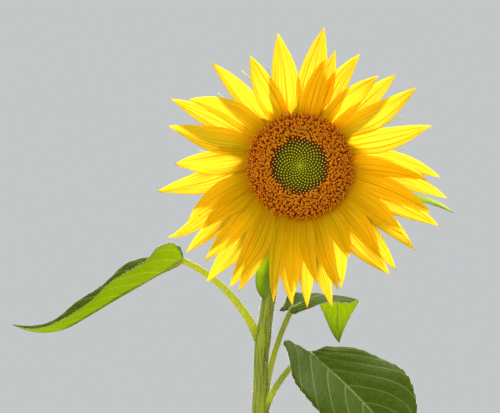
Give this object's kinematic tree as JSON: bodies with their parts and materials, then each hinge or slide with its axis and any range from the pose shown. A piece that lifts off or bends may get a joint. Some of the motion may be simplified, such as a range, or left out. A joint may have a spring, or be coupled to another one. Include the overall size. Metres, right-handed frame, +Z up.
{
  "type": "sunflower plant",
  "caption": "Rooted sunflower plant: an upright stem with stalked heart-shaped leaves and one forward-facing flower head of yellow rays round a brown and green disc.",
  "frame": {"origin": "centre of the flat cut under the stem, at ground level", "axes": "+Z up, -Y the way the flower head faces, +X to the right as seen from in front of the head"},
  "size_m": [0.5539, 0.5132, 1.4149],
  "materials": {
    "stem": "ribbed green skin with short pale hairs",
    "stalk": "pale green skin with short hairs",
    "receptacle": "matt green skin",
    "bract": "matt, hairy edged",
    "leaf": "rough leaf skin with pale veins",
    "ray": "satin, grooved lengthways",
    "floret": "matt, dusty",
    "bud": "matt"
  },
  "bodies": {
    "root": {"stem": "stem", "neck": "stem", "receptacle": "receptacle", "bracts_outer": "bract", "bracts_inner": "bract", "rays_back": "ray", "rays_front": "ray", "disc_florets": "floret", "disc_buds": "bud", "stalk_01": "stalk", "stalk_02": "stalk", "stalk_03": "stalk", "stalk_04": "stalk", "stalk_05": "stalk", "stalk_06": "stalk", "stalk_07": "stalk", "stalk_08": "stalk", "stalk_09": "stalk", "stalk_10": "stalk", "stalk_11": "stalk", "stalk_12": "stalk", "stalk_13": "stalk", "stalk_14": "stalk", "stalk_15": "stalk", "stalk_16": "stalk", "leaf_01": "leaf", "leaf_02": "leaf", "leaf_03": "leaf", "leaf_04": "leaf", "leaf_05": "leaf", "leaf_06": "leaf", "leaf_07": "leaf", "leaf_08": "leaf", "leaf_09": "leaf", "leaf_10": "leaf", "leaf_11": "leaf", "leaf_12": "leaf", "leaf_13": "leaf", "leaf_14": "leaf", "leaf_15": "leaf", "leaf_16": "leaf"}
  },
  "joints": []
}
